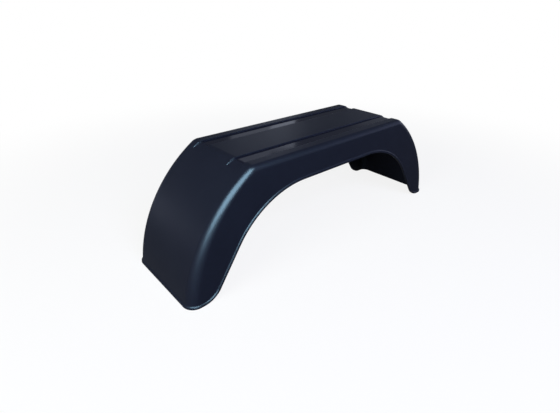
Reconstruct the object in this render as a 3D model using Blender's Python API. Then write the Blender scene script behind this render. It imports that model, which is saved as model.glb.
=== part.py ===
"""Mudguard for one trailer wheel, moulded in one piece from black plastic.

The guard is a thin shell that stands over the wheel like a bridge. Its flat top falls away through a crease to a
curved end wall at each end, and a skirt hangs down each long side, cut away in an arch for the wheel. Two shallow
grooves run along the top, and a bead follows the whole free edge.

+X runs along the guard, +Y points across it and +Z is up. The origin lies on the ground under its middle.
"""

from math import asin, atan2, cos, dist, pi, radians, sin, sqrt

import bmesh
import bpy

# Driving dimensions in metres, and angles in radians
LENGTH = 0.795  # from foot to foot of the two end walls, outside, without the bead
WIDTH = 0.220  # across the skirts at the top
HEIGHT = 0.250
WALL = 0.004
TOP_LENGTH = 0.473  # flat top, between the two creases, as if they were sharp
CREASE_RADIUS = 0.026  # where the top turns down into an end wall
FOOT_FLARE = radians(6.7)  # how far an end wall still leans from upright at its foot
SKIRT_SPREAD = 0.0035  # how far the foot of a skirt stands outside its top
EDGE_RADIUS = 0.012  # long edge between the top and a skirt
FOOT_EDGE_RADIUS = 0.022  # the same edge at the foot of an end wall, where it is blunter

SKIRT_DEPTH = 0.062  # from the top down to the arch's flat crown
LOBE_WIDTH = 0.0545  # skirt left beside the arch at the ground, measured to where its two edges would meet
ARCH_LEAN = radians(34)  # how far the arch's straight sides lean from upright
ARCH_RADIUS = 0.205  # between the arch's crown and its straight sides
LOBE_RADIUS = 0.048  # between the arch's straight sides and the ground line

PANEL_WIDTH = 0.092  # raised strip between the two grooves
GROOVE_WIDTH = 0.035
GROOVE_DEPTH = 0.0032
GROOVE_DRAFT = radians(30)  # how far a groove's side walls lean from upright
GROOVE_RADIUS = 0.0022  # along each edge of a groove
GROOVE_FOLLOW = radians(22)  # how far a groove's floor turns down with the crease before it runs out straight

BEAD_STAND = 0.0025  # how far the bead stands proud of the wall
BEAD_HEIGHT = 0.004  # how wide the bead is, measured from the free edge

# How finely round stretches are divided, and how far a cutter reaches past what it cuts
END_WALL_STEPS = 24
CREASE_STEPS = 5
EDGE_STEPS = 5
FOLLOW_STEPS = 4
ARCH_STEPS = 16
LOBE_STEPS = 8
FILLET_STEPS = 3
REACH = 0.030
MERGE_DISTANCE = 1e-6
SHARP_ANGLE = radians(25)

# Satin black polyethylene with the cold cast that the photograph shows
PLASTIC_COLOUR = (0.018, 0.020, 0.027, 1.0)
PLASTIC_ROUGHNESS = 0.42


def arc(centre, radius, start, end, steps):
    """Points along a circular arc, with both of its ends."""
    angles = [start + (end - start) * step / steps for step in range(steps + 1)]
    return [(centre[0] + radius * cos(angle), centre[1] + radius * sin(angle)) for angle in angles]


def end_wall_circle():
    """Centre (x, z) and radius of the circle that the outside of an end wall follows."""
    foot_x, brow_x = LENGTH / 2, TOP_LENGTH / 2
    outward = (cos(FOOT_FLARE), sin(FOOT_FLARE))
    run, rise = brow_x - foot_x, HEIGHT
    radius = -(run * run + rise * rise) / (2 * (run * outward[0] + rise * outward[1]))
    return (foot_x - radius * outward[0], -radius * outward[1]), radius


def crease_centre():
    """Centre (x, z) of the arc between the flat top and an end wall."""
    centre, radius = end_wall_circle()
    crease_z = HEIGHT - CREASE_RADIUS
    return centre[0] + sqrt((radius - CREASE_RADIUS) ** 2 - (crease_z - centre[1]) ** 2), crease_z


def side_stations(inset):
    """Stations along the side view of the shell, from the right foot over the top to the left one.

    Each is a point (x, z), the outward normal there, and how far down the end wall it lies, from 0 on the top to
    1 at the ground. The line lies inside the outer face by the inset, and it runs on below the ground.
    """
    centre, radius = end_wall_circle()
    crease_x, crease_z = crease_centre()
    turn = atan2(crease_z - centre[1], crease_x - centre[0])
    foot = asin((-REACH - centre[1]) / (radius - inset))
    ground = asin(-centre[1] / radius)

    half = []
    for step in range(END_WALL_STEPS):
        angle = foot + (turn - foot) * step / END_WALL_STEPS
        fall = min((turn - angle) / (turn - ground), 1.0)
        half.append((centre, radius - inset, angle, fall))
    for step in range(CREASE_STEPS + 1):
        angle = turn + (pi / 2 - turn) * step / CREASE_STEPS
        half.append(((crease_x, crease_z), CREASE_RADIUS - inset, angle, 0.0))

    stations = []
    for (x, z), reach, angle, fall in half:
        normal = (cos(angle), sin(angle))
        stations.append((x + reach * normal[0], z + reach * normal[1], normal, fall))
    mirrored = [(-x, z, (-normal[0], normal[1]), fall) for x, z, normal, fall in reversed(stations)]
    return stations + mirrored


def section(station, inset):
    """Points across the shell at one station: a round edge, the flat between, and the other round edge."""
    x, z, normal, fall = station
    radius = EDGE_RADIUS + (FOOT_EDGE_RADIUS - EDGE_RADIUS) * fall - inset
    half_width = WIDTH / 2 - inset
    half = []
    for step in range(EDGE_STEPS + 1):
        angle = pi / 2 * step / EDGE_STEPS
        drop = radius * (1 - sin(angle))
        half.append((x - drop * normal[0], half_width - radius + radius * cos(angle), z - drop * normal[1]))
    points = half + [(px, -py, pz) for px, py, pz in reversed(half)]
    spread = SKIRT_SPREAD / (WIDTH / 2)
    return [(px, py * (1 + spread * (HEIGHT - pz) / HEIGHT), pz) for px, py, pz in points]


def free_edge(grow):
    """Side view of all that lies under the free edge: the arch, and everything below the ground line.

    Growing it moves the whole line into the wall by the same distance.
    """
    crown = HEIGHT - SKIRT_DEPTH
    corner_x = LENGTH / 2 - LOBE_WIDTH
    rise, lean = sin(ARCH_LEAN), cos(ARCH_LEAN)
    arch_x = corner_x - (ARCH_RADIUS + (crown - ARCH_RADIUS) * rise) / lean
    lobe_x = corner_x + LOBE_RADIUS * (1 - rise) / lean
    half = arc((arch_x, crown - ARCH_RADIUS), ARCH_RADIUS + grow, pi / 2, ARCH_LEAN, ARCH_STEPS)
    half += arc((lobe_x, LOBE_RADIUS), LOBE_RADIUS - grow, pi + ARCH_LEAN, 3 * pi / 2, LOBE_STEPS)
    half += [(LENGTH / 2 + REACH, grow), (LENGTH / 2 + REACH, -2 * REACH)]
    return [(-x, z) for x, z in reversed(half)] + half


def groove_section(inset):
    """Section (y, rise) across one groove about its own middle, or across the ridge that it makes inside the wall.

    The rise counts from the outer face of the guard.
    """
    slope, fall = sin(GROOVE_DRAFT), cos(GROOVE_DRAFT)
    brim, toe = max(GROOVE_RADIUS - inset, 0.0), GROOVE_RADIUS + inset
    half_width = GROOVE_WIDTH / 2 + inset / fall
    toe_rise = GROOVE_RADIUS - GROOVE_DEPTH
    brim_y = half_width + brim * (1 - slope) / fall
    toe_y = half_width + (toe_rise * slope - toe) / fall
    wall = arc((brim_y, -brim), brim, pi / 2, pi - GROOVE_DRAFT, FILLET_STEPS)
    wall += arc((toe_y, toe_rise), toe, -GROOVE_DRAFT, -pi / 2, FILLET_STEPS)
    # The brim's first facet is drawn out past the outer face, which it then cuts cleanly
    out_y, out_rise = 2 * wall[0][0] - wall[1][0], 2 * wall[0][1] - wall[1][1]
    half = [(out_y, REACH), (out_y, out_rise)] + wall[1:]
    half = [point for point, before in zip(half, half[-1:] + half) if dist(point, before) > MERGE_DISTANCE]
    return half + [(-y, rise) for y, rise in reversed(half)]


def groove_stations():
    """Stations along a groove: round the crease as far as its floor follows that, over the top and down again.

    Each is a point (x, z) level with the outer face, and the outward normal there. The first and the last lie
    well past the run-out on the end walls.
    """
    crease_x, crease_z = crease_centre()
    half = []
    for step in range(FOLLOW_STEPS + 1):
        angle = pi / 2 - GROOVE_FOLLOW * (1 - step / FOLLOW_STEPS)
        normal = (cos(angle), sin(angle))
        half.append((crease_x + CREASE_RADIUS * normal[0], crease_z + CREASE_RADIUS * normal[1], normal))
    x, z, normal = half[0]
    half.insert(0, (x + 2 * REACH * normal[1], z - 2 * REACH * normal[0], normal))
    return half + [(-x, z, (-normal[0], normal[1])) for x, z, normal in reversed(half)]


def new_object(name, collection, build, *sizes):
    """A closed mesh object that the given function builds from the given sizes."""
    shape = bmesh.new()
    build(shape, *sizes)
    bmesh.ops.remove_doubles(shape, verts=shape.verts, dist=MERGE_DISTANCE)
    bmesh.ops.recalc_face_normals(shape, faces=shape.faces)
    mesh = bpy.data.meshes.new(name)
    shape.to_mesh(mesh)
    shape.free()
    thing = bpy.data.objects.new(name, mesh)
    collection.objects.link(thing)
    return thing


def build_body(shape, inset):
    """The guard's outer body as if it were full, or what lies inside its wall by the inset."""
    rows = [[shape.verts.new(point) for point in section(station, inset)] for station in side_stations(inset)]
    chains = [[shape.edges.new(pair) for pair in zip(row, row[1:])] for row in rows]
    for chain, following in zip(chains, chains[1:]):
        bmesh.ops.bridge_loops(shape, edges=chain + following)
    shape.faces.new([row[0] for row in rows])
    shape.faces.new([row[-1] for row in rows])
    shape.faces.new(rows[0] + rows[-1][::-1])


def build_prism(shape, outline, run):
    """A flat outline, given as points in space, extruded along a vector."""
    face = shape.faces.new([shape.verts.new(point) for point in outline])
    grown = bmesh.ops.extrude_face_region(shape, geom=[face])["geom"]
    bmesh.ops.translate(shape, verts=[item for item in grown if isinstance(item, bmesh.types.BMVert)], vec=run)


def build_under(shape, grow):
    """What is cut away under the free edge, right across the guard."""
    side = -WIDTH / 2 - REACH
    build_prism(shape, [(x, side, z) for x, z in free_edge(grow)], (0, -2 * side, 0))


def build_grooves(shape, inset):
    """Both grooves. Past the creases each floor goes straight on, and runs out on the end wall by itself."""
    middle = (PANEL_WIDTH + GROOVE_WIDTH) / 2
    for side in (-middle, middle):
        rows = []
        for x, z, normal in groove_stations():
            points = [(x + rise * normal[0], side + y, z + rise * normal[1]) for y, rise in groove_section(inset)]
            rows.append([shape.verts.new(point) for point in points])
        loops = [[shape.edges.new(pair) for pair in zip(row, row[1:] + row[:1])] for row in rows]
        for loop, following in zip(loops, loops[1:]):
            bmesh.ops.bridge_loops(shape, edges=loop + following)
        shape.faces.new(rows[0])
        shape.faces.new(rows[-1])


def combine(thing, operation, other):
    """Adds a live Boolean to an object."""
    modifier = thing.modifiers.new(other.name, "BOOLEAN")
    modifier.operation = operation
    modifier.solver = "EXACT"
    modifier.object = other


def hide_cutter(thing):
    """A cutter shows as wires, and never in a render."""
    thing.display_type = "WIRE"
    thing.hide_render = True


def plastic():
    """Black polyethylene with a satin moulded face."""
    material = bpy.data.materials.new("black_polyethylene")
    material.use_nodes = True
    shader = material.node_tree.nodes["Principled BSDF"]
    shader.inputs["Base Color"].default_value = PLASTIC_COLOUR
    shader.inputs["Roughness"].default_value = PLASTIC_ROUGHNESS
    shader.inputs["Metallic"].default_value = 0.0
    return material


def new_collection(name):
    """A collection linked to the scene."""
    collection = bpy.data.collections.new(name)
    bpy.context.scene.collection.children.link(collection)
    return collection


def main():
    for thing in list(bpy.data.objects):
        bpy.data.objects.remove(thing)
    parts = new_collection("trailer_mudguard")
    cutters = new_collection("mudguard_cutters")

    # The bead is the rim of a slightly bigger body, kept only along the free edge
    bead = new_object("bead_band", cutters, build_body, -BEAD_STAND)
    bead_zone = new_object("bead_zone", cutters, build_under, BEAD_HEIGHT)
    combine(bead, "INTERSECT", bead_zone)

    # The hollow follows the outside at one wall's thickness, ridges under the grooves included
    hollow = new_object("wheel_hollow", cutters, build_body, WALL)
    ridges = new_object("groove_ridges", cutters, build_grooves, WALL)
    combine(hollow, "DIFFERENCE", ridges)

    grooves = new_object("tread_grooves", cutters, build_grooves, 0.0)
    under = new_object("arch_and_ground", cutters, build_under, 0.0)

    shell = new_object("mudguard_shell", parts, build_body, 0.0)
    combine(shell, "UNION", bead)
    combine(shell, "DIFFERENCE", grooves)
    combine(shell, "DIFFERENCE", hollow)
    combine(shell, "DIFFERENCE", under)
    shell.data.materials.append(plastic())
    shell.data.shade_smooth()
    shell.data.set_sharp_from_angle(angle=SHARP_ANGLE)

    for cutter in cutters.objects:
        hide_cutter(cutter)


main()
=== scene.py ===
"""Trailer mudguard as it looks: a satin black moulding with a grooved top and a beaded edge, in a studio.

Its sizes, its finish and the studio are properties in the sidebar's Mudguard tab. One operator moulds the
shell and the other sets up the studio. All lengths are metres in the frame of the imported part: +X along the
guard, +Y across it and +Z up.
"""

from math import asin, atan2, cos, pi, radians, sin, sqrt, tan

import bmesh
import bpy
from bpy.props import FloatProperty, FloatVectorProperty, PointerProperty, StringProperty
from mathutils import Matrix, Vector


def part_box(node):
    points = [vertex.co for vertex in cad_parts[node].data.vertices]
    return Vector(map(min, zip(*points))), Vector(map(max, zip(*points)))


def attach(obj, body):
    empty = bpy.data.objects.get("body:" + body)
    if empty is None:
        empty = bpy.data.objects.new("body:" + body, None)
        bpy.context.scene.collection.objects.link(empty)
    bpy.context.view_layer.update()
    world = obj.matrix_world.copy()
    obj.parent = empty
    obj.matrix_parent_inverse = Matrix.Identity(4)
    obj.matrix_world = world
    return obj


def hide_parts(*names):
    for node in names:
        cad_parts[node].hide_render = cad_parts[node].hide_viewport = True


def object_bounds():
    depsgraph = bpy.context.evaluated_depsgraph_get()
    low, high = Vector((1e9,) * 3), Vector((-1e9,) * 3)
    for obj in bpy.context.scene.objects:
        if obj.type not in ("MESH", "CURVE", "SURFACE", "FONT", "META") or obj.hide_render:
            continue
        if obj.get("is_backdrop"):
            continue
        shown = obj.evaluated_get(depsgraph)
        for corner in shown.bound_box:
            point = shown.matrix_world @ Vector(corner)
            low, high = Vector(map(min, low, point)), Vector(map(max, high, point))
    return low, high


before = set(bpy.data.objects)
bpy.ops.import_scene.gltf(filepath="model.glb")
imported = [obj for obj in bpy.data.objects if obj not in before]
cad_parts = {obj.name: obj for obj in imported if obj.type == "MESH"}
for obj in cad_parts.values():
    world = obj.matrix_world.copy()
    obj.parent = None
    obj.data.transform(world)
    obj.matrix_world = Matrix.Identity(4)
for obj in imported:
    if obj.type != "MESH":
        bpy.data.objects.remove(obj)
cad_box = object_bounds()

bl_info = {
    "name": "Trailer Mudguard",
    "version": (1, 0, 0),
    "blender": (4, 5, 0),
    "location": "3D View > Sidebar > Mudguard",
    "description": "Moulds a black plastic trailer mudguard and sets up a plain studio around it",
    "category": "Object",
}

NODE = "mudguard_shell"
LOWEST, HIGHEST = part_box(NODE)

# How finely the shell's faces are divided
TOP_ROWS = 28
CREASE_ROWS = 10
END_WALL_ROWS = 80
PANEL_COLUMNS = 6
FLOOR_COLUMNS = 8
STRIP_COLUMNS = 5
FILLET_STEPS = 4
CORNER_COLUMNS = 12
SKIRT_COLUMNS = 14
SHOULDER_STEPS = 6
# Vertices that lie closer together than this, in metres, become one
MERGE_DISTANCE = 1e-6
# Passes in which a column's angle at the foot settles
FOOT_PASSES = 6
# Vertex attribute that says how smooth the mould left the plastic
POLISH = "polish"
# How sharply the smoothness of a groove's floor ends by its walls
POLISH_POWER = 4

# The floor, in metres: the camera sees it shaded by the guard, and as white as the backdrop further off
FLOOR_RADIUS = 12.0
FLOOR_SEGMENTS = 96
SHADED_REACH = 0.5
WHITE_REACH = 1.5
NEAR_WHITENESS = 0.86
# Share of the white floor that shows in gloss
FLOOR_IN_GLOSS = 0.06
WHITE = "#ffffff"


def length_size(name, description, default):
    """A length property in metres."""
    return FloatProperty(name=name, description=description, default=default, unit="LENGTH", precision=4)


def angle_size(name, description, default):
    """An angle property, given and stored in radians and shown in degrees."""
    return FloatProperty(name=name, description=description, default=default, subtype="ANGLE")


def factor(name, description, default):
    """A property from 0 to 1."""
    return FloatProperty(name=name, description=description, default=default, min=0, max=1, subtype="FACTOR")


def hex_colour(name, description, default):
    """An sRGB colour property, given as its hex code."""
    return StringProperty(name=name, description=description, default=default)


class MudguardSizes(bpy.types.PropertyGroup):
    """Sizes of the moulded shell."""

    bead_stand: length_size("Bead stand", "How far the bead stands proud of the wall", 0.0025)
    bead_band: length_size("Bead band", "Upright outer face of the bead, from the free edge", 0.0045)
    bead_shoulder: length_size("Bead shoulder", "Width of the hollow shoulder beside the bead", 0.0028)
    rim_radius: length_size("Rim radius", "Small radius along every edge of the rim", 0.0006)
    width: length_size("Width", "Across the skirts at the top", 0.220)
    height: length_size("Height", "From the ground to the flat top", HIGHEST.z)
    wall: length_size("Wall", "Thickness of the moulded wall", 0.004)
    top_length: length_size("Top length", "Flat top between the two creases, as if they were sharp", 0.473)
    crease_radius: length_size("Crease radius", "Where the top turns down into an end wall", 0.026)
    foot_flare: angle_size("Foot flare", "How far an end wall leans from upright at its foot", radians(6.7))
    skirt_spread: length_size("Skirt spread", "How far a skirt's foot stands outside its top", 0.0035)
    edge_radius: length_size("Edge radius", "Long edge between the top and a skirt", 0.012)
    foot_edge_radius: length_size("Foot edge radius", "The same edge at the foot of an end wall", 0.022)
    skirt_depth: length_size("Skirt depth", "From the top down to the arch's flat crown", 0.062)
    lobe_width: length_size("Lobe width", "Skirt left beside the arch at the ground", 0.0545)
    arch_lean: angle_size("Arch lean", "How far the arch's straight sides lean from upright", radians(34))
    arch_radius: length_size("Arch radius", "Between the arch's crown and its straight sides", 0.205)
    lobe_radius: length_size("Lobe radius", "Between the arch's straight sides and the ground", 0.048)
    panel_width: length_size("Panel width", "Raised strip between the two grooves", 0.092)
    groove_width: length_size("Groove width", "Across each groove at its brim", 0.035)
    groove_depth: length_size("Groove depth", "From the outer face down to a groove's floor", 0.0032)
    groove_draft: angle_size("Groove draft", "How far a groove's side walls lean from upright", radians(8))
    groove_radius: length_size("Groove radius", "Along each edge of a groove", 0.0003)
    groove_follow: angle_size("Groove follow", "How far a groove's floor turns with the crease", radians(22))
    run_out: length_size("Run-out", "How softly a groove's floor runs out on the end wall", 0.0008)


class MudguardFinish(bpy.types.PropertyGroup):
    """Colours and gloss of the plastic."""

    plastic: hex_colour("Plastic", "Colour of the black polyethylene", "#12141f")
    bloom: hex_colour("Bloom", "Paler cast in patches of the moulded face", "#171924")
    gloss_tint: hex_colour("Gloss tint", "Colour of straight-on reflections", "#e4ebff")
    roughness: factor("Roughness", "Of the grained faces", 0.36)
    floor_roughness: factor("Groove floor roughness", "Of the smoother groove floors", 0.11)
    specular: factor("Specular level", "Strength of reflections", 0.15)
    grain: length_size("Grain", "Width of one fleck of the mould's grain", 0.0020)
    grain_depth: length_size("Grain depth", "Height of the flecks", 0.00002)
    wave: length_size("Wave", "Width of the soft waves left by cooling", 0.060)
    wave_depth: length_size("Wave depth", "Height of the soft waves", 0.00008)


class MudguardStudio(bpy.types.PropertyGroup):
    """Camera and light."""

    camera_place: FloatVectorProperty(
        name="Camera", description="Where it stands", default=(-0.6311, -0.6484, 0.5330), unit="LENGTH"
    )
    camera_yaw: angle_size("Yaw", "Turn of the camera from +Y towards +X", 0.7480)
    camera_pitch: angle_size("Pitch", "How far the camera looks down", 0.4759)
    camera_roll: angle_size("Roll", "Turn of the camera about its own axis", 0.0151)
    lens: FloatProperty(name="Lens", description="Focal length", default=25.23, subtype="DISTANCE_CAMERA")
    shift: FloatVectorProperty(name="Shift", description="Lens shift", size=2, default=(-0.0267, -0.0181))
    paper: hex_colour("Paper", "Colour of the floor, as the camera sees it", "#e4e4e2")
    paper_bounce: hex_colour("Paper bounce", "Colour that the floor throws back on the guard", "#4c4c4b")
    daylight: hex_colour("Daylight", "Colour of the window behind the camera to the left", "#f0f4ec")
    shade: hex_colour("Shade", "Colour of the side window and of the card on the right", "#d4dbff")
    sky: hex_colour("Sky", "Colour of the card behind the camera", "#cefbff")
    walls: hex_colour("Walls", "Colour of the room and its light boards", "#e0e8fa")
    ambient: factor("Ambient", "Level of the light from all round", 0.13)
    room: factor("Room", "Level of the room in reflections", 0.13)
    backdrop_foot: factor("Backdrop foot", "Sine of the elevation up to which the backdrop is white", 0.02)
    backdrop_top: factor("Backdrop top", "Sine of the elevation at which it has faded into the room", 0.11)


def ease_both(share):
    """Spaces steps closer together towards both ends."""
    return (1 - cos(pi * share)) / 2


def ease_end(share):
    """Spaces steps closer together towards the end."""
    return sin(pi / 2 * share)


def arc(centre, radius, start, end, steps):
    """Points along a circular arc, with both of its ends."""
    angles = [start + (end - start) * step / steps for step in range(steps + 1)]
    return [(centre[0] + radius * cos(angle), centre[1] + radius * sin(angle)) for angle in angles]


class ShellForm:
    """Works out where the shell's faces lie, for one quarter of it.

    A face is named by its inset: 0 for the outer face, the wall for the inner one, less than 0 on the bead.
    Rows run down the side view from the middle of the top to the foot. Columns run across from the middle of
    the top over the round edge and down the skirt to the free edge.
    """

    def __init__(self, sizes):
        self.sizes = sizes
        self.half_width = sizes.width / 2
        self.half_length = HIGHEST.x - sizes.bead_stand / cos(sizes.foot_flare)
        self.fit_end_wall()
        self.fit_free_edge()
        self.rows = self.list_rows()
        self.margin = sizes.bead_band + sizes.bead_shoulder
        self.shares = self.match_rows_to_free_edge()
        self.flats = {}

    def fit_end_wall(self):
        """The circle that an end wall follows, and where the crease meets it."""
        sizes = self.sizes
        outward = (cos(sizes.foot_flare), sin(sizes.foot_flare))
        run, rise = sizes.top_length / 2 - self.half_length, sizes.height
        self.wall_radius = -(run * run + rise * rise) / (2 * (run * outward[0] + rise * outward[1]))
        self.wall_x = self.half_length - self.wall_radius * outward[0]
        self.wall_z = -self.wall_radius * outward[1]
        self.crease_z = sizes.height - sizes.crease_radius
        rise = self.crease_z - self.wall_z
        self.crease_x = self.wall_x + sqrt((self.wall_radius - sizes.crease_radius) ** 2 - rise**2)
        self.turn = atan2(rise, self.crease_x - self.wall_x)
        self.ground = asin(-self.wall_z / self.wall_radius)

    def fit_free_edge(self):
        """The arch's line from the middle of its crown to the ground, as four stretches of known length."""
        sizes = self.sizes
        crown = sizes.height - sizes.skirt_depth
        corner_x = self.half_length - sizes.lobe_width
        rise, lean = sin(sizes.arch_lean), cos(sizes.arch_lean)
        self.arch_x = corner_x - (sizes.arch_radius + (crown - sizes.arch_radius) * rise) / lean
        self.arch_z = crown - sizes.arch_radius
        self.lobe_x = corner_x + sizes.lobe_radius * (1 - rise) / lean
        top_x, top_z = self.arch_x + sizes.arch_radius * lean, self.arch_z + sizes.arch_radius * rise
        self.leg_top = Vector((top_x, 0, top_z))
        self.leg_foot = Vector((self.lobe_x - sizes.lobe_radius * lean, 0, sizes.lobe_radius * (1 - rise)))
        bend = pi / 2 - sizes.arch_lean
        leg = (self.leg_foot - self.leg_top).length
        self.stretches = (self.arch_x, sizes.arch_radius * bend, leg, sizes.lobe_radius * bend)

    def free_edge(self, share, grow):
        """The point a share of the way along the free edge, moved into the wall by some distance."""
        sizes = self.sizes
        along = share * sum(self.stretches)
        crown, bow, leg = self.stretches[:3]
        if along <= crown:
            return Vector((along, 0, self.arch_z + sizes.arch_radius + grow))
        along -= crown
        if along <= bow:
            angle = pi / 2 - along / sizes.arch_radius
            reach = sizes.arch_radius + grow
            return Vector((self.arch_x + reach * cos(angle), 0, self.arch_z + reach * sin(angle)))
        along -= bow
        if along <= leg:
            inward = Vector((cos(sizes.arch_lean), 0, sin(sizes.arch_lean)))
            return self.leg_top.lerp(self.leg_foot, along / leg) + grow * inward
        angle = pi + sizes.arch_lean + (along - leg) / sizes.lobe_radius
        reach = sizes.lobe_radius - grow
        return Vector((self.lobe_x + reach * cos(angle), 0, sizes.lobe_radius + reach * sin(angle)))

    def list_rows(self):
        """Each row as the centre, reach and angle of its point on the side view.

        A row on the end wall has no centre, and a share instead of an angle, because each column ends at its
        own angle there.
        """
        reach = self.sizes.crease_radius
        rows = [(self.crease_x * ease_end(row / TOP_ROWS), reach, pi / 2) for row in range(TOP_ROWS)]
        for row in range(CREASE_ROWS):
            rows.append((self.crease_x, reach, pi / 2 + (self.turn - pi / 2) * row / CREASE_ROWS))
        return rows + [(None, self.wall_radius, row / END_WALL_ROWS) for row in range(END_WALL_ROWS + 1)]

    def edge_radius_at(self, angle):
        """Radius of the long edge at one angle of the side view."""
        sizes = self.sizes
        fall = min(max((self.turn - angle) / (self.turn - self.ground), 0.0), 1.0)
        return sizes.edge_radius + (sizes.foot_edge_radius - sizes.edge_radius) * fall

    def foot_angle(self, lean, inset, height):
        """Angle at which one column of the end wall comes down to a height."""
        angle = self.ground
        for _ in range(FOOT_PASSES):
            drop = (self.edge_radius_at(angle) - inset) * (1 - sin(lean))
            angle = asin((height - self.wall_z) / (self.wall_radius - inset - drop))
        return angle

    def seat(self, row, lean, inset, height):
        """Centre (x, z), reach and angle that put one row on the side view, for one column."""
        centre_x, reach, angle = self.rows[row]
        if centre_x is not None:
            return centre_x, self.crease_z, reach, angle
        foot = self.foot_angle(lean, inset, height)
        return self.wall_x, self.wall_z, reach, self.turn + (foot - self.turn) * angle

    def round_edge(self, row, lean, inset, height):
        """Point on a row of the round edge: at a lean of a right angle on the top, and of 0 on the skirt."""
        centre_x, centre_z, reach, angle = self.seat(row, lean, inset, height)
        radius = self.edge_radius_at(angle) - inset
        reach -= inset + radius * (1 - sin(lean))
        across = self.half_width - inset - radius + radius * cos(lean)
        return Vector((centre_x + reach * cos(angle), across, centre_z + reach * sin(angle)))

    def match_rows_to_free_edge(self):
        """For each row, the share of the free edge that its skirt line runs down to."""
        points = [self.round_edge(row, 0.0, 0.0, self.margin) for row in range(len(self.rows))]
        lengths = [0.0]
        for start, end in zip(points, points[1:]):
            lengths.append(lengths[-1] + (end - start).length)
        return [length / lengths[-1] for length in lengths]

    def flat_columns(self, inset):
        """Columns across the flat: how far each lies from the middle, and its share of the groove's depth."""
        if inset in self.flats:
            return self.flats[inset]
        sizes = self.sizes
        slope, fall = sin(sizes.groove_draft), cos(sizes.groove_draft)
        brim = sizes.groove_radius - min(inset, 0.0)
        # The ridge inside has a large toe, held to what its height has room for
        largest = sizes.groove_depth / (1 - slope) - brim
        toe = min(max(sizes.groove_radius + inset, 0.0), largest)
        half_width = sizes.groove_width / 2 + inset / fall
        toe_z = toe - inset - sizes.groove_depth
        brim_y = half_width - inset * slope / fall + brim * (1 - slope) / fall
        toe_y = half_width + (toe_z * slope - toe) / fall
        wall = arc((brim_y, -brim - inset), brim, pi / 2, pi - sizes.groove_draft, FILLET_STEPS)
        wall += arc((toe_y, toe_z), toe, -sizes.groove_draft, -pi / 2, FILLET_STEPS)
        wall = [(across, -(drop + inset) / sizes.groove_depth) for across, drop in wall]
        middle = (sizes.panel_width + sizes.groove_width) / 2
        panel_end = middle - wall[0][0]
        columns = [(panel_end * ease_end(step / PANEL_COLUMNS), 0.0) for step in range(PANEL_COLUMNS)]
        columns += [(middle - across, depth) for across, depth in wall]
        floor = wall[-1][0]
        for step in range(1, FLOOR_COLUMNS):
            columns.append((middle - floor + 2 * floor * ease_both(step / FLOOR_COLUMNS), 1.0))
        columns += [(middle + across, depth) for across, depth in reversed(wall)]
        self.flats[inset] = columns
        return columns

    def column_count(self):
        """How many columns of faces a row has."""
        return len(self.flat_columns(0.0)) - 1 + STRIP_COLUMNS + CORNER_COLUMNS + SKIRT_COLUMNS

    def sink(self, row, inset, margin):
        """How far a row's point on the flat moves to reach the groove's floor. The floor runs out softly."""
        sizes = self.sizes
        centre_x, centre_z, reach, angle = self.seat(row, pi / 2, inset, margin)
        normal = Vector((cos(angle), 0, sin(angle)))
        last = pi / 2 - sizes.groove_follow
        if angle >= last:
            return -sizes.groove_depth * normal
        # Past the crease the floor is a straight line
        square = Vector((cos(last), 0, sin(last)))
        start = Vector((self.crease_x, 0, self.crease_z))
        start += (sizes.crease_radius - inset - sizes.groove_depth) * square
        place = Vector((centre_x, 0, centre_z)) + (reach - inset) * normal
        depth = (place - start).dot(square) / normal.dot(square)
        if depth <= -sizes.run_out:
            return Vector((0, 0, 0))
        if depth < sizes.run_out:
            depth = (depth + sizes.run_out) ** 2 / (4 * sizes.run_out)
        return -depth * normal

    def point(self, row, column, inset, margin):
        """A point of the face at an inset. Its last row and column lie a margin above the free edge."""
        flats = self.flat_columns(inset)
        strip_start = len(flats) - 1
        corner_start = strip_start + STRIP_COLUMNS
        skirt_start = corner_start + CORNER_COLUMNS
        if column <= corner_start:
            place = self.round_edge(row, pi / 2, inset, margin)
            if column <= strip_start:
                across, share = flats[column]
                place = Vector((place.x, across, place.z)) + share * self.sink(row, inset, margin)
            else:
                start = flats[-1][0]
                place.y = start + (place.y - start) * ease_both((column - strip_start) / STRIP_COLUMNS)
        elif column <= skirt_start:
            lean = pi / 2 * (1 - (column - corner_start) / CORNER_COLUMNS)
            place = self.round_edge(row, lean, inset, margin)
        else:
            place = self.round_edge(row, 0.0, inset, margin)
            end = self.free_edge(self.shares[row], margin)
            end.y = place.y
            place = place.lerp(end, ease_both((column - skirt_start) / SKIRT_COLUMNS))
        spread = self.sizes.skirt_spread / self.half_width
        place.y *= 1 + spread * (self.sizes.height - place.z) / self.sizes.height
        return place

    def polish(self, row, column):
        """How smooth the tool left the outer face: 1 on a groove's flat floor, 0 elsewhere."""
        flats = self.flat_columns(0.0)
        if column >= len(flats):
            return 0.0
        angle = self.seat(row, pi / 2, 0.0, self.margin)[3]
        flatness = max(1 - (pi / 2 - angle) / self.sizes.groove_follow, 0.0)
        return flatness * max(flats[column][1], 0.0) ** POLISH_POWER

    def rim_profile(self):
        """Section through the rim as (distance from the free edge, inset), from outer face to inner face."""
        sizes = self.sizes
        small = sizes.rim_radius
        profile = []
        for step in range(SHOULDER_STEPS + 1):
            angle = pi / 2 * step / SHOULDER_STEPS
            rise = (sizes.bead_stand - small) * (1 - cos(angle))
            profile.append((sizes.bead_band + sizes.bead_shoulder * (1 - sin(angle)), -rise))
        crest = -sizes.bead_stand + small
        profile += arc((sizes.bead_band - small, crest), small, 0, -pi / 2, FILLET_STEPS)[1:]
        profile += arc((small, crest), small, -pi / 2, -pi, FILLET_STEPS)
        profile += arc((small, sizes.wall - small), small, pi, pi / 2, FILLET_STEPS)
        return profile + [(self.margin, sizes.wall)]


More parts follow.
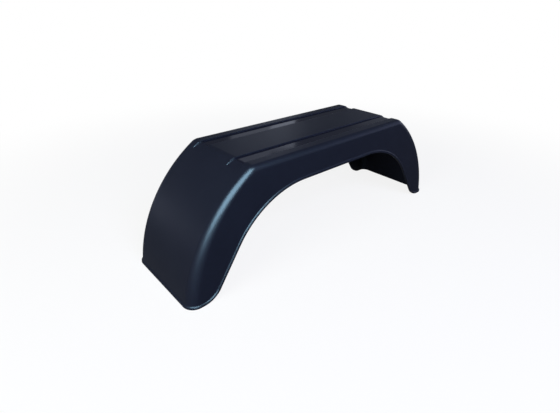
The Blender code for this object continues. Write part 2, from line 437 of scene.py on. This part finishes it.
def add_sheet(shape, across, along, place, polish=None):
    """A grid of quads, with each vertex put where one function says and as smooth as another says."""
    layer = shape.verts.layers.float[POLISH]
    grid = bmesh.ops.create_grid(shape, x_segments=across, y_segments=along, size=1.0)
    for index, vertex in enumerate(grid["verts"]):
        row, column = divmod(index, across + 1)
        vertex.co = place(row, column)
        vertex[layer] = polish(row, column) if polish else 0.0


def build_shell(shape, form):
    """Outer face, inner face and rim of one quarter, then the other three by mirroring."""
    rows, columns = len(form.rows) - 1, form.column_count()
    profile = form.rim_profile()
    # The rim follows the last column down the skirt, and then the last row across the foot
    edge = [(row, columns) for row in range(rows)] + [(rows, columns - step) for step in range(columns + 1)]

    def on_outside(row, column):
        return form.point(row, column, 0.0, form.margin)

    def on_inside(row, column):
        return form.point(row, column, form.sizes.wall, form.margin)

    def on_rim(step, ring):
        margin, inset = profile[ring]
        return form.point(*edge[step], inset, margin)

    shape.verts.layers.float.new(POLISH)
    add_sheet(shape, columns, rows, on_outside, form.polish)
    add_sheet(shape, columns, rows, on_inside)
    add_sheet(shape, len(profile) - 1, len(edge) - 1, on_rim)
    bmesh.ops.remove_doubles(shape, verts=shape.verts, dist=MERGE_DISTANCE)
    for axis in "XY":
        geometry = shape.verts[:] + shape.edges[:] + shape.faces[:]
        bmesh.ops.mirror(shape, geom=geometry, axis=axis, merge_dist=MERGE_DISTANCE)
    bmesh.ops.recalc_face_normals(shape, faces=shape.faces)


def finish_mesh(name, shape):
    """A smooth shaded object from a bmesh, which has to be closed."""
    open_edges = sum(not edge.is_manifold for edge in shape.edges)
    if open_edges:
        raise RuntimeError(f"{name} has {open_edges} edges that aren't closed")
    mesh = bpy.data.meshes.new(name)
    shape.to_mesh(mesh)
    shape.free()
    mesh.shade_smooth()
    piece = bpy.data.objects.new(name, mesh)
    bpy.context.scene.collection.objects.link(piece)
    return piece


def colour(code):
    """Linear colour of an sRGB hex code."""
    shades = [int(code[place:place + 2], 16) / 255 for place in (1, 3, 5)]
    return tuple(s / 12.92 if s <= 0.04045 else ((s + 0.055) / 1.055) ** 2.4 for s in shades) + (1.0,)


def add_node(tree, kind, settings=None, **inputs):
    """A node with its settings, and with its inputs set to values or linked to other nodes' outputs.

    An input goes by its name, with _ for a space, or by _ and its number.
    """
    node = tree.nodes.new(kind)
    for name, value in (settings or {}).items():
        setattr(node, name, value)
    for name, value in inputs.items():
        socket = node.inputs[int(name[1:]) if name[1:].isdigit() else name.replace("_", " ")]
        if isinstance(value, bpy.types.NodeSocket):
            tree.links.new(value, socket)
        else:
            socket.default_value = value
    return node


def moulded_polyethylene(finish):
    """Black polyethylene, injection moulded against a finely grained tool with polished groove floors.

    It gives the eye a satin blue-black with broad soft highlights, and groove floors that mirror the room.
    """
    material = bpy.data.materials.new("moulded_black_polyethylene")
    material.use_nodes = True
    tree = material.node_tree
    shader = tree.nodes["Principled BSDF"]
    # Polyethylene's own refractive index
    shader.inputs["IOR"].default_value = 1.51
    shader.inputs["Specular IOR Level"].default_value = finish.specular
    shader.inputs["Specular Tint"].default_value = colour(finish.gloss_tint)
    place = add_node(tree, "ShaderNodeTexCoord").outputs["Object"]
    patches = add_node(
        tree, "ShaderNodeTexNoise", Vector=place, Scale=1 / finish.wave, Detail=2.0
    ).outputs["Fac"]
    tint = add_node(
        tree, "ShaderNodeMix", {"data_type": "RGBA"},
        _0=patches, _6=colour(finish.plastic), _7=colour(finish.bloom),
    )
    tree.links.new(tint.outputs[2], shader.inputs["Base Color"])
    polish = add_node(tree, "ShaderNodeAttribute", {"attribute_name": POLISH}).outputs["Fac"]
    gloss = add_node(
        tree, "ShaderNodeMix", {"data_type": "FLOAT"},
        _0=polish, _2=finish.roughness, _3=finish.floor_roughness,
    )
    tree.links.new(gloss.outputs[0], shader.inputs["Roughness"])

    # The real grain is about 0.3 mm, too fine for one pixel, so it is drawn several times as coarse
    flecks = add_node(
        tree, "ShaderNodeTexNoise", Vector=place, Scale=1 / finish.grain, Detail=1.0
    ).outputs["Fac"]
    grained = add_node(tree, "ShaderNodeMath", {"operation": "SUBTRACT"}, _0=1.0, _1=polish).outputs[0]
    waves = add_node(tree, "ShaderNodeBump", Height=patches, Distance=finish.wave_depth)
    grain = add_node(
        tree, "ShaderNodeBump",
        Height=flecks, Strength=grained, Distance=finish.grain_depth, Normal=waves.outputs[0],
    )
    tree.links.new(grain.outputs[0], shader.inputs["Normal"])
    return material


def sort_rays(tree):
    """Two outputs: one is 1 for rays from the camera, the other for rays that gloss or glass sends on."""
    paths = add_node(tree, "ShaderNodeLightPath").outputs
    sent_on = add_node(
        tree, "ShaderNodeMath", {"operation": "MAXIMUM"},
        _0=paths["Is Glossy Ray"], _1=paths["Is Transmission Ray"],
    ).outputs[0]
    return paths["Is Camera Ray"], sent_on


def set_up_world(studio):
    """A dim cool room over a low white backdrop, which is all that the camera sees of it."""
    world = bpy.data.worlds.new("pale_room")
    bpy.context.scene.world = world
    world.use_nodes = True
    tree = world.node_tree
    seen, sent_on = sort_rays(tree)
    height = add_node(
        tree, "ShaderNodeSeparateXYZ", Vector=add_node(tree, "ShaderNodeTexCoord").outputs["Generated"]
    ).outputs["Z"]
    backdrop = add_node(
        tree, "ShaderNodeMapRange", {"interpolation_type": "SMOOTHSTEP"}, Value=height,
        From_Min=studio.backdrop_foot, From_Max=studio.backdrop_top, To_Min=1.0, To_Max=studio.room,
    ).outputs[0]
    lit = add_node(
        tree, "ShaderNodeMix", {"data_type": "FLOAT"}, _0=sent_on, _2=studio.ambient, _3=backdrop
    ).outputs[0]
    strength = add_node(tree, "ShaderNodeMix", {"data_type": "FLOAT"}, _0=seen, _2=lit, _3=1.0)
    tint = add_node(
        tree, "ShaderNodeMix", {"data_type": "RGBA"}, _0=seen, _6=colour(studio.walls), _7=colour(WHITE)
    )
    background = tree.nodes["Background"]
    tree.links.new(strength.outputs[0], background.inputs["Strength"])
    tree.links.new(tint.outputs[2], background.inputs["Color"])


def add_camera(studio):
    """The camera at the photograph's place and angle."""
    data = bpy.data.cameras.new("camera")
    data.sensor_width = 36.0
    data.lens = studio.lens
    data.shift_x, data.shift_y = studio.shift
    camera = bpy.data.objects.new("camera", data)
    turn = Matrix.Rotation(-studio.camera_yaw, 4, "Z") @ Matrix.Rotation(pi / 2 - studio.camera_pitch, 4, "X")
    turn = turn @ Matrix.Rotation(studio.camera_roll, 4, "Z")
    camera.matrix_world = Matrix.Translation(studio.camera_place) @ turn
    bpy.context.scene.collection.objects.link(camera)
    bpy.context.scene.camera = camera


def towards(azimuth, elevation):
    """Direction at an azimuth, counted from +Y towards +X, and an elevation, both in degrees."""
    turn, rise = radians(azimuth), radians(elevation)
    return Vector((sin(turn) * cos(rise), cos(turn) * cos(rise), sin(rise)))


def add_lamp(name, target, distance, azimuth, elevation, size, level, tint, lights=True, mirrored=True):
    """A soft box of a width and height, aimed at a point from a distance, in a direction given in degrees.

    At a level of 1 its face is as bright as white paper. One that doesn't light is a card, and only shows in
    gloss. One that isn't mirrored only lights.
    """
    data = bpy.data.lights.new(name, "AREA")
    data.shape = "RECTANGLE"
    data.size, data.size_y = size
    data.energy = pi * data.size * data.size_y * level
    data.color = colour(tint)[:3]
    lamp = bpy.data.objects.new(name, data)
    lamp.location = target + distance * towards(azimuth, elevation)
    lamp.rotation_euler = (target - lamp.location).to_track_quat("-Z", "Y").to_euler()
    lamp.visible_camera = False
    lamp.visible_diffuse, lamp.visible_glossy = lights, mirrored
    bpy.context.scene.collection.objects.link(lamp)


def add_board(name, left, right, bottom, top, level, studio, distance=3.0):
    """An upright light board that groove floors mirror between two azimuths and elevations, in degrees."""
    lowest, highest = distance * tan(radians(bottom)), distance * tan(radians(top))
    # The floors show the camera what its own mirror image below the top would see
    eye = Vector((studio.camera_place[0], studio.camera_place[1], 2 * HIGHEST.z - studio.camera_place[2]))
    eye.z += (lowest + highest) / 2
    size = (2 * distance * tan(radians(right - left) / 2), highest - lowest)
    add_lamp(name, eye, distance, (left + right) / 2, 0, size, level, studio.walls)


def add_lamps(studio):
    """Two windows light the plastic from behind the camera. Cards and boards show in its gloss."""
    middle = Vector((0, 0, HIGHEST.z / 2))
    left_end = Vector((LOWEST.x, 0, HIGHEST.z / 2))
    near_edge = Vector((0, LOWEST.y, HIGHEST.z))
    near_corner = Vector((0.7 * LOWEST.x, LOWEST.y, 0.8 * HIGHEST.z))
    add_lamp("window", middle, distance=2.4, azimuth=262, elevation=18, size=(1.3, 1.0),
             level=14.5, tint=studio.daylight, mirrored=False)
    add_lamp("side_window", middle, distance=2.4, azimuth=192, elevation=36, size=(1.3, 1.0),
             level=15.0, tint=studio.shade, mirrored=False)
    # The bright line down the round near corner
    add_lamp("card_behind_camera", near_corner, distance=1.9, azimuth=214, elevation=41, size=(2.5, 1.9),
             level=37.0, tint=studio.sky, lights=False)
    # A faint sheen along the top's near edge, and on the left end wall
    add_lamp("right_card", near_edge, distance=2.0, azimuth=110, elevation=12, size=(2.2, 1.0),
             level=1.2, tint=studio.shade, lights=False)
    add_lamp("left_softbox", left_end, distance=2.0, azimuth=340, elevation=3, size=(1.4, 0.3),
             level=0.9, tint=studio.walls)
    # Paler stretches of the groove floors
    add_board("board_beyond_left", left=33.0, right=39.0, bottom=14.0, top=24.5, level=0.42, studio=studio)
    add_board("board_beyond_middle", left=39.0, right=42.7, bottom=12.5, top=20.2, level=0.95, studio=studio)
    add_board("board_beyond_right", left=51.0, right=70.0, bottom=0.0, top=16.5, level=0.15, studio=studio)


def add_floor(studio):
    """A wide pale floor under the feet. The camera sees it nearly white, with the guard's soft shadow."""
    shape = bmesh.new()
    bmesh.ops.create_circle(shape, cap_ends=True, segments=FLOOR_SEGMENTS, radius=FLOOR_RADIUS)
    floor = bpy.data.objects.new("floor", bpy.data.meshes.new("floor"))
    shape.to_mesh(floor.data)
    shape.free()
    bpy.context.scene.collection.objects.link(floor)
    floor.data.materials.append(pale_paper(studio))
    floor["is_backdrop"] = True


def pale_paper(studio):
    """Coated backdrop paper, rolled matt and pale.

    It gives the eye an even near-white that takes the guard's soft shadow, and is pure white further off.
    """
    material = bpy.data.materials.new("matt_backdrop_paper")
    material.use_nodes = True
    tree = material.node_tree
    shader = tree.nodes["Principled BSDF"]
    shader.inputs["Roughness"].default_value = 0.9
    shader.inputs["Specular IOR Level"].default_value = 0.0
    seen, sent_on = sort_rays(tree)
    tint = add_node(
        tree, "ShaderNodeMix", {"data_type": "RGBA"},
        _0=seen, _6=colour(studio.paper_bounce), _7=colour(studio.paper),
    )
    tree.links.new(tint.outputs[2], shader.inputs["Base Color"])
    mirrored = add_node(
        tree, "ShaderNodeMath", {"operation": "MULTIPLY"}, _0=sent_on, _1=FLOOR_IN_GLOSS
    ).outputs[0]
    distance = add_node(
        tree, "ShaderNodeVectorMath", {"operation": "LENGTH"},
        Vector=add_node(tree, "ShaderNodeTexCoord").outputs["Object"],
    ).outputs["Value"]
    whiteness = add_node(
        tree, "ShaderNodeMapRange", {"interpolation_type": "SMOOTHSTEP"}, Value=distance,
        From_Min=SHADED_REACH, From_Max=WHITE_REACH, To_Min=NEAR_WHITENESS, To_Max=1.0,
    ).outputs[0]
    white = add_node(
        tree, "ShaderNodeMix", {"data_type": "FLOAT"}, _0=seen, _2=mirrored, _3=whiteness
    ).outputs[0]
    glow = add_node(tree, "ShaderNodeEmission", Strength=1.0).outputs[0]
    face = add_node(tree, "ShaderNodeMixShader", _0=white, _1=shader.outputs[0], _2=glow).outputs[0]
    # From below the paper is clear, so that the underside of the guard can be seen
    back = add_node(tree, "ShaderNodeNewGeometry").outputs["Backfacing"]
    clear = add_node(tree, "ShaderNodeBsdfTransparent").outputs[0]
    both = add_node(tree, "ShaderNodeMixShader", _0=back, _1=face, _2=clear)
    tree.links.new(both.outputs[0], tree.nodes["Material Output"].inputs["Surface"])
    return material


class MUDGUARD_OT_mould_shell(bpy.types.Operator):
    """Mould the shell, with its grooves and its beaded free edge, in place of the plain one"""

    bl_idname = "mudguard.mould_shell"
    bl_label = "Mould Shell"

    def execute(self, context):
        shape = bmesh.new()
        build_shell(shape, ShellForm(context.scene.mudguard_sizes))
        piece = finish_mesh("moulded_shell", shape)
        piece.data.materials.append(moulded_polyethylene(context.scene.mudguard_finish))
        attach(piece, "root")
        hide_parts(NODE)
        return {"FINISHED"}


class MUDGUARD_OT_set_studio(bpy.types.Operator):
    """Set up the floor, the lamps, the room's light and the camera"""

    bl_idname = "mudguard.set_studio"
    bl_label = "Set Up Studio"

    def execute(self, context):
        studio = context.scene.mudguard_studio
        context.scene.view_settings.view_transform = "Standard"
        set_up_world(studio)
        add_floor(studio)
        add_lamps(studio)
        add_camera(studio)
        return {"FINISHED"}


class MUDGUARD_PT_sidebar(bpy.types.Panel):
    """Lists the operators and the properties"""

    bl_label = "Mudguard"
    bl_idname = "MUDGUARD_PT_sidebar"
    bl_space_type = "VIEW_3D"
    bl_region_type = "UI"
    bl_category = "Mudguard"

    def draw(self, context):
        layout = self.layout
        for group, operator in (
            ("mudguard_sizes", None),
            ("mudguard_finish", "mudguard.mould_shell"),
            ("mudguard_studio", "mudguard.set_studio"),
        ):
            box = layout.box()
            settings = getattr(context.scene, group)
            for name in settings.__annotations__:
                box.prop(settings, name)
            if operator:
                box.operator(operator)


CLASSES = (
    MudguardSizes,
    MudguardFinish,
    MudguardStudio,
    MUDGUARD_OT_mould_shell,
    MUDGUARD_OT_set_studio,
    MUDGUARD_PT_sidebar,
)


def register():
    for item in CLASSES:
        bpy.utils.register_class(item)
    bpy.types.Scene.mudguard_sizes = PointerProperty(type=MudguardSizes)
    bpy.types.Scene.mudguard_finish = PointerProperty(type=MudguardFinish)
    bpy.types.Scene.mudguard_studio = PointerProperty(type=MudguardStudio)


def unregister():
    del bpy.types.Scene.mudguard_studio
    del bpy.types.Scene.mudguard_finish
    del bpy.types.Scene.mudguard_sizes
    for item in reversed(CLASSES):
        bpy.utils.unregister_class(item)


def main():
    register()
    bpy.ops.mudguard.mould_shell()
    bpy.ops.mudguard.set_studio()
    boxes = {"cad": cad_box, "visual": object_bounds()}
    {name: [list(corner) for corner in box] for name, box in boxes.items()}


if __name__ == "__main__":
    main()
